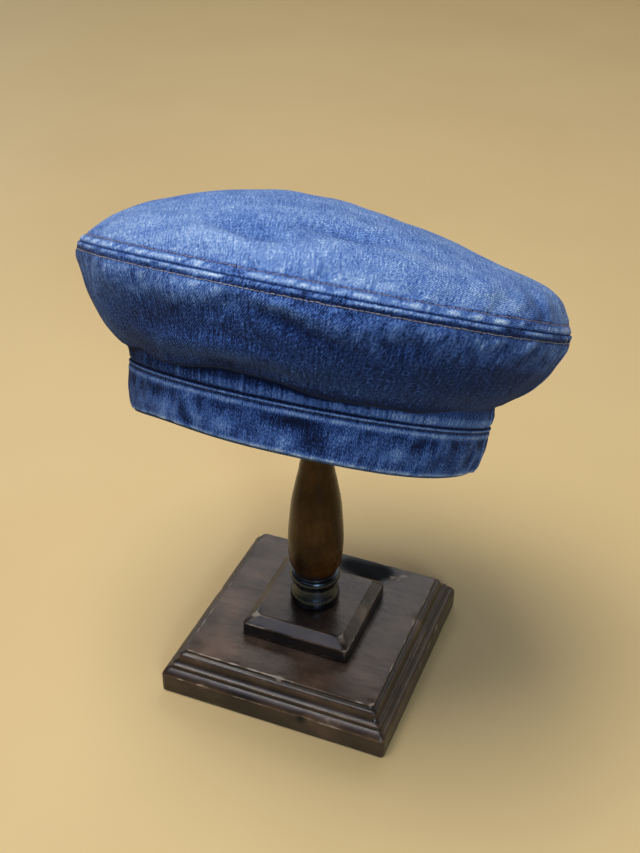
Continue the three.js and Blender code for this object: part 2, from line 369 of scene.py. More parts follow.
def soft_noise(points, size, seed, waves=24):
    """Smooth seeded random field over points, about 1 high, with lumps about half of size across."""
    random = np.random.default_rng(seed)
    directions = unit(random.normal(size=(waves, points.shape[-1])))
    rates = random.uniform(0.6, 1.5, waves) * 2 * np.pi / size
    phases = random.uniform(0, 2 * np.pi, waves)
    total = np.zeros(points.shape[:-1])
    for direction, rate, phase in zip(directions, rates, phases):
        total += np.sin(points @ direction * rate + phase)
    return total / math.sqrt(waves / 2)


def section_grid(rows, places):
    """Points of the beret's sections, one row for each place and one column for each step."""
    z, long, wide, shift, rise, sag = read_table(rows, places).T[:, :, None]
    height = z + rise * BACKWARD + sag * SIDEWAYS
    return np.stack([shift + long * BACKWARD, wide * SIDEWAYS, height], -1)


def lifts_round(lifts):
    """How far a table of lifts raises the cloth at each step round the head."""
    return sum(lift * bump(turn_from(at) / spread) for at, spread, lift in lifts)


def near_side():
    """1 on the near side of the head, fading to 0 at its ends."""
    return ease(204, 226, DEGREES) * ease(326, 296, DEGREES)


def band_surface(places):
    points = section_grid(BAND_ROWS, places)
    points[..., 2] += (1 - places)[:, None] * lifts_round(RIM_LIFTS)
    return points


def fold_heights(folds, height):
    """How far the given folds of the side panel stand out."""
    total = np.zeros(height.shape)
    for at, middle, spread, tall, slant, out in folds:
        turn = turn_from(at)
        total += out * bump(turn / spread) * bump((height - middle - slant * turn) / tall)
    return total


def side_surface(places):
    points = section_grid(SIDE_ROWS, places)
    free = np.sin(np.pi * places)[:, None]
    lip = bump((places - LIP_PLACE) / LIP_REACH)[:, None] * near_side()
    out = fold_heights(SIDE_FOLDS, points[..., 2]) * free
    out += fold_heights(SIDE_CREASES, points[..., 2]) * free**0.5 + LIP_OUT * lip
    points[..., 0] += out * BACKWARD
    points[..., 1] += out * SIDEWAYS
    weight = bump((places - FOLD_PLACE) / FOLD_REACH)[:, None] * free
    points[..., 2] += weight * lifts_round(FOLD_LIFTS) - LIP_HANG * lip
    return points


def dent_heights(dents, x, y):
    """How high the given dents and rolls of the tip stand."""
    total = np.zeros(x.shape)
    for middle_x, middle_y, along, across, turn, up in dents:
        c, s = math.cos(math.radians(turn)), math.sin(math.radians(turn))
        far = (x - middle_x) * c + (y - middle_y) * s
        off = (y - middle_y) * c - (x - middle_x) * s
        total += up * bump(far / along) * bump(off / across)
    return total


def top_surface(places):
    seam = section_grid(SIDE_ROWS, np.array([1.0]))[0]
    out, front, back = read_table(TOP_ROWS, places).T[:, :, None]
    x = (seam[:, 0] - TIP_SHIFT) * out
    y = seam[:, 1] * out
    dome = front + (back - front) * (1 + BACKWARD) / 2
    fade = np.minimum(1, places / DENT_FADE)[:, None]
    z = SEAM_HEIGHT + GAP + (seam[:, 2] - SEAM_HEIGHT) * out + dome
    z += dent_heights(TOP_DENTS, x, y) * fade
    return np.stack([x + TIP_SHIFT, y, z], -1)


def lengths_along(points):
    """Length of cloth from the first row to each row, down each column."""
    steps = np.linalg.norm(np.diff(points, axis=0), axis=2)
    return np.vstack([np.zeros(points.shape[1]), np.cumsum(steps, axis=0)])


def places_at(surface, *stretches):
    """Places on a surface from 0 to 1, even in length on the near side within each stretch. A stretch is the
    share of the length where it ends, and its number of steps."""
    shares = [np.zeros(1)]
    for end, steps in stretches:
        shares.append(np.linspace(shares[-1][-1], end, steps + 1)[1:])
    fine = np.linspace(0, 1, 801)
    length = lengths_along(surface(fine))[:, NEAR_STEP]
    return np.interp(np.concatenate(shares) * length[-1], length, fine)


def normals_of(points):
    """Outward directions of a grid of rings."""
    around = np.roll(points, -1, axis=1) - np.roll(points, 1, axis=1)
    return unit(np.cross(around, np.gradient(points, axis=0)))


def inner_wall(points, thickness, level_rows):
    """Rings one wall's thickness inside. Level rows move sideways only."""
    outward = normals_of(points)
    for row in level_rows:
        outward[row] = unit(outward[row] * (1, 1, 0))
    return points - outward * thickness


def skin(counts, looped):
    """Quads and triangles over rings of the given counts. A ring's count may be a whole part of the ring
    before it or after it."""
    firsts = np.concatenate([[0], np.cumsum(counts)[:-1]])
    quads, triangles = [], [np.zeros((0, 3), int)]
    for low in range(len(counts) if looped else len(counts) - 1):
        high = (low + 1) % len(counts)
        fine_ring, coarse_ring = (low, high) if counts[low] >= counts[high] else (high, low)
        many, few = counts[fine_ring], counts[coarse_ring]
        fine = firsts[fine_ring] + np.arange(many)
        coarse = firsts[coarse_ring] + np.arange(few)
        fine_next, coarse_next = np.roll(fine, -1), np.roll(coarse, -1)
        if many == few:
            quads.append(np.stack([fine, fine_next, coarse_next, coarse], 1))
            continue
        ratio = many // few
        nearest = coarse[(np.arange(many) + ratio // 2) // ratio % few]
        corner = fine[(np.arange(few) * ratio + ratio - ratio // 2) % many]
        made = [np.stack([fine, fine_next, nearest], 1), np.stack([coarse, corner, coarse_next], 1)]
        order = [0, 1, 2] if fine_ring == low else [1, 0, 2]
        triangles += [three[:, order] for three in made]
    return np.vstack(quads), np.vstack(triangles)


def capped(rings):
    """Points, quads and triangles of a solid through rings, closed by a fan at each end."""
    counts = [len(ring) for ring in rings]
    total = sum(counts)
    quads, triangles = skin(counts, False)
    low, high = np.arange(counts[0]), np.arange(total - counts[-1], total)
    low_fan = np.stack([np.full(len(low), total), np.roll(low, -1), low], 1)
    high_fan = np.stack([np.full(len(high), total + 1), high, np.roll(high, -1)], 1)
    points = np.concatenate([*rings, [rings[0].mean(0)], [rings[-1].mean(0)]])
    return points, quads, np.vstack([triangles, low_fan, high_fan])


def cloth_corners(cloth, faces):
    """Cloth coordinates at the corners of faces, carried on past the end of a full turn."""
    corners = cloth[faces]
    along = corners[..., 0]
    wide = np.ptp(along, axis=1)[:, None] > FULL_TURN / 2
    along[wide & (along < FULL_TURN / 2)] += FULL_TURN
    return corners.reshape(-1, 3)


def add_object(name, data):
    """Puts a new object with the given data in the scene."""
    made = bpy.data.objects.new(name, data)
    bpy.context.scene.collection.objects.link(made)
    return made


def add_mesh(name, points, quads, triangles, to_row, cloth=None, fields=None):
    """Makes a smooth mesh from points in millimetres, with the cloth coordinates and the named fields that
    its material reads."""
    matrix = np.array(to_row)
    placed = (points @ matrix[:3, :3].T + matrix[:3, 3]) * MM
    mesh = bpy.data.meshes.new(name)
    mesh.from_pydata(placed.tolist(), [], quads.tolist() + triangles.tolist())
    if cloth is not None:
        corners = np.concatenate([cloth_corners(cloth, quads), cloth_corners(cloth, triangles)])
        layer = mesh.attributes.new("cloth", "FLOAT_VECTOR", "CORNER")
        layer.data.foreach_set("vector", corners.astype(np.float32).ravel())
    for field, values in (fields or {}).items():
        layer = mesh.attributes.new(field, "FLOAT", "POINT")
        layer.data.foreach_set("value", values.astype(np.float32))
    mesh.polygons.foreach_set("use_smooth", np.ones(len(mesh.polygons), bool))
    mesh.validate()
    mesh.update()
    return add_object(name, mesh)


def settle(piece, material, slot, *nodes):
    """Gives a piece its material, and seats it in the frame in place of the named solids."""
    piece.data.materials.append(material)
    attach(piece, "root")
    if nodes:
        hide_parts(*nodes)
    return piece


def round_points(away, lean, stretch):
    """Points for noise that runs on round the head without a break, leaning and stretched with distance."""
    angles = ANGLES + lean * away / CLOTH_RADIUS
    return np.stack([CLOTH_RADIUS * np.cos(angles), CLOTH_RADIUS * np.sin(angles), stretch * away], -1)


def patch_wash(patches, away):
    """How much a table of patches lightens the cloth."""
    total = np.zeros(away.shape)
    for at, middle, spread, tall, lighter in patches:
        total += lighter * bump(turn_from(at) / spread) * bump((away - middle) / tall)
    return total


def crest_patches(strokes, away, tall):
    """Strokes along a roll's crest as rows of a table of patches."""
    return [(at, away, spread, tall, lighter) for at, spread, lighter in strokes]


def add_up(layers):
    """Height and wash of cloth from layers, the wash with its painted light and shade. Each is a mask, the
    height that it adds and its wash.
    """
    height = sum(mask * up for mask, up, _ in layers)
    wash = sum(mask * lighter for mask, _, lighter in layers)
    return height, wash


def seam_relief(away, stitch_away, lean, crest_at, crest_wide, hollow, fading, patchy, seed):
    """Height and wash beside the outer seam, by distance away from it: a ditch, a rope-like roll with a
    hollow behind it, the sunk stitch line and puckers beyond it. The ditch, the hollow and the stitch line
    are darker, partly as unfaded indigo and partly as painted shade."""
    share = away / stitch_away
    leaning = round_points(away, lean, 0.2)
    rope, stroke, blotch, pucker, drape = (
        soft_noise(leaning, size, seed + k) for k, size in enumerate(ROLL_NOISE_SIZES)
    )
    roll = ease(0.02, 0.22, share) * (1 - ease(0.7, 0.98, share))
    worn = ease(-0.5, 1.3, 0.8 * rope + 0.5 * stroke + 0.4 * blotch + fading)
    shaded = ease(-0.4, 1.2, stroke)
    return add_up([
        (roll, 0.3, -0.05),
        (bump((share - crest_at) / crest_wide), 0.28 + 0.14 * rope, 0.31 * worn - 0.01),
        # Darker in the hollow behind the roll: partly unfaded indigo and partly painted shade
        (bump((share - 0.73) / 0.17), -0.25 * hollow, -0.2 * hollow),
        # Darker along the sunk stitch line and in flecks beside it: partly unfaded indigo and partly painted
        # shade
        (bump((away - stitch_away) / 0.55), -0.3, -0.22),
        (bump((away - stitch_away) / 1.3), 0, -0.13 * shaded),
        (bump((away - 8.0) / 3.6), 0.14 + 0.28 * pucker, patchy * (pucker + stroke + 0.5)),
        (bump((away - 14.0) / 9.0), 0.5 * drape, 0),
        (bump(away / 0.42), -0.55, 0),
        # Darker in the ditch: partly unfaded indigo and partly painted shade
        (bump(away / 0.45), 0, -0.38),
        (bump(turn_from(BARE_AT) / 0.62) * roll, 0, 0.32),
    ])


def flat_cloth(along):
    """Cloth coordinates of a strip: length round the head from the join, and length along each column."""
    turn = (ANGLES - math.radians(JOIN_AT)) % (2 * np.pi) * CLOTH_RADIUS
    return np.stack([np.broadcast_to(turn, along.shape), along, np.zeros(along.shape)], -1)


def strip_piece(name, outer, inner, cloth, inner_cloth, wash, inner_wash, inner_inside):
    """Closed wall round the head from outer rings and inner ones, both given from the bottom up."""
    rings = np.concatenate([outer, inner[::-1]])
    whole = np.ones(inner.shape[:2])
    fields = {
        "wash": np.concatenate([wash, inner_wash * whole]).ravel(),
        "inside": np.concatenate([np.zeros(wash.shape), inner_inside * whole]).ravel(),
    }
    all_cloth = np.concatenate([cloth, inner_cloth[::-1]]).reshape(-1, 3)
    quads, triangles = skin([AROUND] * len(rings), True)
    return add_mesh(name, rings.reshape(-1, 3), quads, triangles, HAT_TO_ROW, all_cloth, fields)


def build_side(material):
    """Side panel with the rolls and puckers of its seams, the gathers of its neck and its back join."""
    places = places_at(side_surface, (0.1, 12), (0.24, 16), (0.82, 40), (0.93, 12), (1.0, 24))
    base = side_surface(places)
    length = lengths_along(base)
    away = length[-1] - length
    outward = normals_of(base)

    lifts = lifts_round(FOLD_LIFTS)
    neck_top = 7.5 + lifts
    neck = ease(0.3, 2.5, length) * (1 - ease(neck_top - 1.5, neck_top + 2.5, length))
    gather = soft_noise(round_points(length, 0.0, 0.06), 4.2, 31)
    streak = soft_noise(round_points(length, 0.0, 0.05), 2.2, 32)
    gathered = 0.35 + 0.65 * ease(-80, 10, 90 - np.abs(turn_from(315)))
    fold_line = 6.0 + 0.68 * np.maximum(lifts, 0)
    lip = bump((places - LIP_PLACE) / (LIP_REACH / 2))[:, None] * near_side()
    right = ease(276, 300, DEGREES)
    # Painted light on the neck just above the band, reaching higher and stronger on the right
    painted_neck_light_reach = 3.2 + 2.2 * ease(265, 300, DEGREES)
    painted_neck_light = ease(216, 248, DEGREES) * bump((length - 2.8) / painted_neck_light_reach)

    tucks = 1 - 2.2 * bump(soft_noise(round_points(away, 0.1, 0.15), 9.0, 45) / 0.3)
    tucks *= bump((away - 6.8) / 2.4) * (0.3 + 0.7 * bump(turn_from(236) / 18))
    folds = fold_heights(SIDE_FOLDS + SIDE_CREASES, base[..., 2])
    body = ease(6, 18, away) * ease(8, 20, length)
    clouded = ease(3, 7, away) * ease(34, 14, away)
    streaked = ease(4, 8, away) * ease(36, 12, away)
    streaks = soft_noise(round_points(away, 0.3, 0.4), 5.0, 43)
    patches = crest_patches(LOWER_STROKES, *LOWER_CREST) + SIDE_PATCHES
    join = np.radians(turn_from(JOIN_AT)) * np.linalg.norm(base[..., :2], axis=2)

    height, wash = add_up([
        (1, 0, SIDE_WASH + patch_wash(patches, away)),
        (1, *seam_relief(away, LOWER_STITCH_AWAY, *LOWER_ROLL)),
        (neck, 0.2 * gather * gathered, 0.03 * gather + 0.07 * streak),
        # Darker in the ditch at the neck's foot: partly unfaded indigo and partly painted shade
        (bump(length / 0.7), -0.6, -0.4),
        # Painted shade: a dark line where the fold hangs over the neck, fainter on the right
        (bump((length - fold_line) / 1.2), 0, 0.24 * right - 0.34),
        # Painted shade along the fold's lower lip on the near side
        (lip, 0, -0.26),
        (painted_neck_light, 0, 0.2 + 0.11 * right),
        (tucks, 0.12, 0.06),
        # Painted light and shade: lighter where the folds stand out and darker in their hollows
        (ease(6, 12, away), 0, 0.03 * folds),
        (body, 0.3 * soft_noise(base, 46.0, 41), 0),
        (ease(6, 14, away), 0.1 * soft_noise(base, 17.0, 42), 0),
        # Painted shade: darker down towards the belly
        (ease(9, 30, away), 0, -0.15),
        (clouded, 0, 0.035 * soft_noise(base, 10.0, 44)),
        (streaked, 0, 0.04 * streaks),
        (bump((join - 2.6) / 1.7), 0.45, 0),
        (bump((join - 2.6) / 1.6), 0, 0.2),
        # Darker in the ditch of the back join: partly unfaded indigo and partly painted shade
        (bump(join / 0.8), -0.7, -0.3),
    ])
    outer = base + outward * height[..., None]
    inner_places = np.append(places[::3], places[-1])
    inner = inner_wall(side_surface(inner_places), CROWN_WALL, [0, len(inner_places) - 1])
    cloths = flat_cloth(length), flat_cloth(lengths_along(inner))
    piece = strip_piece("crown_side_denim", outer, inner, *cloths, wash, INSIDE_WASH, 1.0)
    settle(piece, material, "denim", "crown_side")
    return outer, away, outward


def thinning(place):
    """Steps of the full ring for each step of a ring at a place on the tip: fewer near the middle."""
    if place > 0.93:
        return 20
    return 4 if place > 0.72 else 1


def build_top(material):
    """Domed tip with its half of the outer seam."""
    places = places_at(top_surface, (0.04, 26), (0.12, 18), (0.5, 34), (1.0, 30))
    base = top_surface(places)
    away = lengths_along(base)
    outward = normals_of(base)
    rolls = dent_heights(TOP_DENTS, base[..., 0] - TIP_SHIFT, base[..., 1])
    patches = TOP_PATCHES + crest_patches(UPPER_STROKES, *UPPER_CREST)
    height, wash = add_up([
        (1, 0, TIP_WASH + patch_wash(patches, away)),
        (1, *seam_relief(away, UPPER_STITCH_AWAY, *UPPER_ROLL)),
        (bump((away - 2.6) / 2.0), 0, -0.04),
        # Painted light and shade: lighter on the tip's rolls and darker in its dents
        (ease(4, 9, away), 0, 0.022 * rolls),
        (ease(6, 22, away), 0.34 * soft_noise(base, 52.0, 51), 0),
        (ease(6, 14, away), 0.06 * soft_noise(base, 19.0, 52), 0),
    ])
    outer = base + outward * height[..., None]
    inner_places = places_at(top_surface, (0.12, 6), (0.5, 12), (1.0, 12))
    inner = inner_wall(top_surface(inner_places), CROWN_WALL, [0])
    steps = [thinning(place) for place in [*inner_places[::-1], *places]]

    def thinned(inner_values, outer_values):
        rows = np.concatenate([inner_values[::-1], outer_values])
        return [row[::step] for row, step in zip(rows, steps)]

    reach = away[-1] + MIDDLE_RADIUS - away
    cloth = np.stack([reach * BACKWARD, reach * SIDEWAYS, np.zeros(away.shape)], -1)
    cloth = np.concatenate([*thinned(inner * (1, 1, 0), cloth), np.zeros((2, 3))])
    whole = np.ones(inner.shape[:2])
    fields = {
        "wash": np.concatenate([*thinned(INSIDE_WASH * whole, wash), [INSIDE_WASH, MIDDLE_WASH]]),
        "inside": np.concatenate([*thinned(whole, np.zeros(wash.shape)), [1, 0]]),
    }
    piece = add_mesh("crown_top_denim", *capped(thinned(inner, outer)), HAT_TO_ROW, cloth, fields)
    settle(piece, material, "denim", "crown_top")
    return outer, away, outward


def build_band(material):
    """Doubled head band with a rolled top edge, a stitched line under it, and a soft folded rim."""
    places = places_at(band_surface, (0.1, 8), (0.7, 20), (1.0, 18))
    base = band_surface(places)
    length = lengths_along(base)
    away = length[-1] - length
    outward = normals_of(base)

    leaning = round_points(length, -0.35, 0.7)
    pucker = soft_noise(leaning, 22.0, 61)
    ripple = soft_noise(leaning, 9.0, 62)
    patch = soft_noise(round_points(length, 0.0, 1.3), 18.0, 63)
    shade = ease(0.1, 1.2, soft_noise(round_points(length, 0.2, 0.7), 15.0, 64)) * (1 - near_side())
    marks = patch_wash(BAND_PATCHES, away) - 0.13 * shade * bump((away - 8.5) / 3.2)
    mottled = 0.02 * pucker + 0.03 * ripple + 0.04 * patch
    join = np.radians(turn_from(JOIN_AT)) * BAND_RADIUS
    height, wash = add_up([
        # The band is set lighter towards the right: painted light
        (1, 0, BAND_WASH + 0.035 * ease(262, 312, DEGREES)),
        (bump((away - 1.05) / 0.6), 0.42, 0.32),
        # Darker where the top edge rolls in and along the stitch groove: partly unfaded indigo and partly
        # painted shade
        (bump(away / 0.4), -0.8, -0.42),
        (bump((away - BAND_STITCH_AWAY) / 0.6), -0.5, -0.28),
        (bump((away - 4.3) / 1.3), 0.25, 0.3 + 0.05 * ripple),
        (ease(4.5, 8.0, away), 0.28 * pucker + 0.12 * ripple, mottled),
        (marks, 2.0, 1.9),
        (bump((length - 1.3) / 1.3), 0, 0.31 + 0.06 * ripple),
        (bump((join - 2.6) / 1.7), 0.35, 0),
        (bump((join - 2.6) / 1.6), 0, 0.15),
        # Darker in the ditch of the back join: partly unfaded indigo and partly painted shade
        (bump(join / 0.8), -0.6, -0.3),
    ])

    half_wall = BAND_WALL / 2
    rounding = half_wall - np.sqrt(np.maximum(0, half_wall**2 - np.maximum(0, half_wall - length) ** 2))
    outer = base + outward * (height * ease(0, 1.5, length) - rounding)[..., None]
    inner = inner_wall(base, BAND_WALL, [0, len(base) - 1]) + outward * rounding[..., None] * 0.98
    kept = np.r_[0:9, 11 : len(places) : 3, len(places) - 1]
    cloth = flat_cloth(length) * (1, -1, 1)
    walls = outer, inner[kept], cloth, cloth[kept]
    piece = strip_piece("head_band_denim", *walls, wash, BAND_INSIDE_WASH, 0.0)
    settle(piece, material, "denim", "head_band")
    return outer, away, outward


def line_at(surface, away, outward, distance):
    """Points and outward directions of a line all round, a set distance from a surface's sewn edge."""
    rows = np.arange(len(surface))
    points, facing = [], []
    for step in [*range(AROUND), 0]:
        order = np.argsort(away[:, step])
        row = np.interp(distance, away[order, step], rows[order])
        low = min(int(row), len(surface) - 2)
        part = row - low
        points.append(surface[low, step] * (1 - part) + surface[low + 1, step] * part)
        facing.append(outward[low, step])
    return np.array(points), np.array(facing)


def stitch_run(path, facing, pitch, cover, width, seed):
    """Rings of the stitches along a path, stitch by stitch, and their places along it."""
    travelled = np.concatenate([[0], np.cumsum(np.linalg.norm(np.diff(path, axis=0), axis=1))])
    count = max(1, int(round(travelled[-1] / pitch)))
    spacing = travelled[-1] / count
    random = np.random.default_rng(seed)
    jitter = random.uniform(-STITCH_JITTER, STITCH_JITTER, count)
    middles = (np.arange(count) + 0.5) * spacing + jitter * spacing
    place, high, thick = np.array(STITCH_SHAPE).T
    along = middles[:, None] + place * spacing * cover

    def at(values, where):
        return np.stack([np.interp(where, travelled, values[:, k]) for k in range(3)], -1)

    centre = at(path, along)
    up = at(facing, along)
    ahead = unit(at(path, along + 0.2) - at(path, along - 0.2))
    side = unit(np.cross(up, ahead))
    slip = random.normal(0, STITCH_SLIP, count)[:, None]
    slip = slip + random.normal(0, STITCH_SLANT, count)[:, None] * place
    centre = centre + side * slip[..., None] + up * (high * width)[None, :, None]
    angles = np.arange(STITCH_SIDES) / STITCH_SIDES * 2 * np.pi
    spokes = side[:, :, None] * np.cos(angles)[:, None]
    spokes = spokes + up[:, :, None] * np.sin(angles)[:, None] * THREAD_FLATNESS
    radius = (thick * width / 2)[None, :, None, None]
    return centre[:, :, None] + spokes * radius, along


def cross_run(surface, away, outward, stitch_away, seed):
    """Stitches that cross a roll of the outer seam beside the join."""
    step = int(round(CROSS_AT / 360 * AROUND))
    rows = np.nonzero((away[:, step] > 0.9) & (away[:, step] < stitch_away))[0]
    return stitch_run(surface[rows, step], outward[rows, step], *CROSS_STITCHES, seed)


def add_stitches(name, runs, material):
    """One mesh of all the stitches of a seam."""
    points, quads, triangles, threads = [], [], [], []
    turn = np.append(np.tile(np.arange(STITCH_SIDES) / STITCH_SIDES, len(STITCH_SHAPE)), [0, 0])
    for stitches, along in runs:
        for rings, places in zip(stitches, along):
            stitch_points, stitch_quads, stitch_triangles = capped(rings)
            first = len(points) * len(stitch_points)
            points.append(stitch_points)
            quads.append(stitch_quads + first)
            triangles.append(stitch_triangles + first)
            far = np.append(np.repeat(places, STITCH_SIDES), places[[0, -1]])
            threads.append(np.stack([far, turn, np.zeros(len(far))], 1))
    faces = np.vstack(quads), np.vstack(triangles)
    piece = add_mesh(name, np.concatenate(points), *faces, HAT_TO_ROW, np.concatenate(threads))
    settle(piece, material, "denim")


def set_inputs(made, inputs):
    """Sets a node's inputs by name or place, or links them where the value is another node's output."""
    for key, value in inputs.items():
        if isinstance(value, bpy.types.NodeSocket):
            made.id_data.links.new(value, made.inputs[key])
        else:
            made.inputs[key].default_value = value


def node(tree, kind, inputs, **options):
    """Adds a shader node with the given inputs and options."""
    made = tree.nodes.new("ShaderNode" + kind)
    for option, value in options.items():
        setattr(made, option, value)
    set_inputs(made, inputs)
    return made


def attribute(tree, name, output="Fac"):
    return node(tree, "Attribute", {}, attribute_name=name).outputs[output]


def object_place(tree):
    return node(tree, "TexCoord", {}).outputs["Object"]


def maths(operation, a, b=0.0, clamp=False):
    """Maths on a node's output, and on a number or another output."""
    return node(a.id_data, "Math", {0: a, 1: b}, operation=operation, use_clamp=clamp).outputs[0]


def plus(a, b):
    return maths("ADD", a, b)


def minus(a, b, clamp=False):
    return maths("SUBTRACT", a, b, clamp)


def times(a, b):
    return maths("MULTIPLY", a, b)


def sine(angle):
    return maths("SINE", angle)


def noise(vector, scale, detail, roughness=0.55):
    """Noise at one scale, or with a scale for each axis."""
    tree = vector.id_data
    if isinstance(scale, tuple):
        vector = node(tree, "VectorMath", {0: vector, 1: scale}, operation="MULTIPLY").outputs["Vector"]
        scale = 1.0
    inputs = {"Vector": vector, "Scale": scale, "Detail": detail, "Roughness": roughness}
    return node(tree, "TexNoise", inputs).outputs["Fac"]


def ramp(factor, stops):
    """Colour from a table of places and colours."""
    made = node(factor.id_data, "ValToRGB", {"Fac": factor})
    elements = made.color_ramp.elements
    while len(elements) < len(stops):
        elements.new(0.5)
    for element, (place, colour) in zip(elements, stops):
        element.position = place
        element.color = (*colour, 1)
    return made.outputs["Color"]


def mix(factor, a, b):
    """Colour between two others. Blender keeps a mix node's factor at place 0 and its colours at 6 and 7."""
    return node(a.id_data, "Mix", {0: factor, 6: a, 7: b}, data_type="RGBA").outputs[2]


def relief(height, strength, distance):
    inputs = {"Height": height, "Strength": strength, "Distance": distance}
    return node(height.id_data, "Bump", inputs).outputs["Normal"]


def new_material(name):
    material = bpy.data.materials.new(name)
    material.use_nodes = True
    tree = material.node_tree
    return material, tree, tree.nodes["Principled BSDF"]


# Colours of washed denim, from the unworn indigo to the bare weft
# place, colour
DENIM_STOPS = [
    (0, (0.004, 0.008, 0.027)),
    (0.12, (0.0085, 0.019, 0.062)),
    (0.22, (0.013, 0.031, 0.118)),
    (0.45, (0.055, 0.127, 0.362)),
    (0.66, (0.178, 0.284, 0.495)),
    (0.85, (0.405, 0.503, 0.63)),
    (1, (0.67, 0.74, 0.78)),
]
TWILL_PITCH = 1.05
TWILL_SLOPE = 0.62
DENIM_REVERSE = (0.36, 0.42, 0.5, 1)
DENIM_SHEEN = (0.62, 0.74, 1.0, 1)


def denim_material():
    """Stone-washed twill. It reads the cloth's own coordinates in millimetres and its wash, which also holds
    painted light and shade.
    """
    material, tree, shader = new_material("washed_denim")
    cloth = attribute(tree, "cloth", "Vector")
    wash = attribute(tree, "wash")
    place = object_place(tree)
    x, y, _ = node(tree, "SeparateXYZ", {"Vector": cloth}).outputs

    wander = noise(cloth, (0.5, 0.5, 0.5), 2.0)
    slant = plus(plus(x, times(y, -TWILL_SLOPE)), times(wander, 1.1))
    twill = sine(times(slant, 2 * math.pi / TWILL_PITCH))
    yarn = noise(cloth, (2.3, 0.7, 1.0), 2.0)
    slub = noise(cloth, (1.2, 0.1, 1.0), 2.0)
    grain = noise(cloth, 1.05, 3.0, 0.7)
    along = plus(y, times(x, TWILL_SLOPE))
    stroke = node(tree, "CombineXYZ", {"X": slant, "Y": times(along, 0.3)}).outputs["Vector"]
    fleck = noise(stroke, 1.5, 2.0, 0.6)
    mottle = noise(place, 95.0, 3.0)
    cloud = noise(place, 26.0, 2.0)

    fade = plus(wash, times(twill, 0.085))
    for source, weight in ((fleck, 0.9), (yarn, 0.55), (slub, 0.52), (grain, 0.6)):
        fade = plus(fade, times(minus(source, 0.5), weight))
    for source, weight in ((mottle, 0.66), (cloud, 0.36)):
        fade = plus(fade, times(times(minus(source, 0.5), weight), wash))
    colour = ramp(fade, DENIM_STOPS)
    colour = mix(attribute(tree, "inside"), colour, mix(0.7, colour, DENIM_REVERSE))
    thread = plus(plus(times(twill, 0.25), yarn), times(grain, 0.8))
    set_inputs(shader, {
        "Base Color": colour,
        "Normal": relief(thread, 0.55, 0.0004),
        "Roughness": 0.93,
        "Specular IOR Level": 0.08,
        "Sheen Weight": 0.05,
        "Sheen Roughness": 0.45,
        "Sheen Tint": DENIM_SHEEN,
    })
    return material


def thread_material(name, dark, light):
    """Twisted sewing thread."""
    material, tree, shader = new_material(name)
    along, round_it, _ = node(tree, "SeparateXYZ", {"Vector": attribute(tree, "cloth", "Vector")}).outputs
    turns = plus(times(along, 1.6), times(round_it, 2.0))
    twist = sine(times(turns, 2 * math.pi))
    shade = plus(noise(object_place(tree), 240.0, 2.0), times(twist, 0.16))
    set_inputs(shader, {
        "Base Color": ramp(shade, [(0.3, dark), (0.7, light)]),
        "Normal": relief(twist, 0.4, 0.0001),
        "Roughness": 0.7,
    })
    return material


# Tones of the stained wood, from its pores to its light grain
# place, colour
FLAT_TONES = [
    (0.36, (0.018, 0.01, 0.0065)),
    (0.52, (0.052, 0.031, 0.019)),
    (0.66, (0.094, 0.055, 0.034)),
    (0.8, (0.138, 0.08, 0.05)),
]
TURNED_TONES = [
    (0.36, (0.005, 0.0018, 0.0004)),
    (0.52, (0.018, 0.007, 0.0012)),
    (0.66, (0.04, 0.016, 0.003)),
    (0.8, (0.074, 0.031, 0.006)),
]
BLACK_TONES = [
    (0.36, (0.0015, 0.0015, 0.0018)),
    (0.8, (0.004, 0.0036, 0.0036)),
]
# Tones of rubbed wood, from its brown fringe to bare pale wood
WORN_TONES = [
    (0.4, (0.12, 0.062, 0.028)),
    (0.9, (0.33, 0.275, 0.215)),
]

FLAT_GRAIN = (14.0, 60.0, 60.0)
TURNED_GRAIN = (120.0, 120.0, 9.0)
# Near black, for grime and for painted shade and reflection
GRIME_AND_SHADE_COLOUR = (0.003, 0.003, 0.003, 1)
BARE_FROM_WEAR = [(0.35, (0, 0, 0)), (0.8, (1, 1, 1))]
GRAIN_BEND = (0.006, 0.006, 0.006)
PORES_FINER = 3.2


def wood_material(name, grain_scale, tones, gloss, tint):
    """Dark stained wood with a worn semi-gloss finish. Grain runs along the axis with the least scale. Grime,
    painted shade and a painted dark reflection darken it, and from 1 up also dull it."""
    material, tree, shader = new_material(name)
    place = object_place(tree)
    wear = attribute(tree, "wear")
    grime = attribute(tree, "grime")
    bend = node(tree, "TexNoise", {"Vector": place, "Scale": 14.0, "Detail": 2.0}).outputs["Color"]
    bent = node(tree, "VectorMath", {0: bend, 1: GRAIN_BEND, 2: place}, operation="MULTIPLY_ADD")
    grain = noise(bent.outputs["Vector"], grain_scale, 4.0, 0.62)
    pores = noise(place, tuple(PORES_FINER * scale for scale in grain_scale), 2.0)
    stain = noise(place, 32.0, 5.0, 0.6)
    scuff = noise(place, 260.0, 5.0, 0.7)

    tone = minus(plus(times(grain, 0.5), times(stain, 1.1)), 0.22)
    colour = mix(times(grime, 0.9), ramp(tone, tones), GRIME_AND_SHADE_COLOUR)
    ragged = times(wear, times(scuff, 2.0))
    colour = mix(ramp(ragged, BARE_FROM_WEAR), colour, ramp(ragged, WORN_TONES))
    rough = plus(times(scuff, 0.2), 0.16)
    dull = minus(grime, 1.0, clamp=True)
    for source, weight in ((wear, 0.2), (grime, 0.1), (dull, 0.5)):
        rough = plus(rough, times(source, weight))
    set_inputs(shader, {
        "Base Color": colour,
        "Roughness": rough,
        "Normal": relief(plus(pores, times(scuff, 0.6)), 0.25, 0.0006),
        "Specular IOR Level": gloss,
        "Specular Tint": (*tint, 1),
    })
    return material
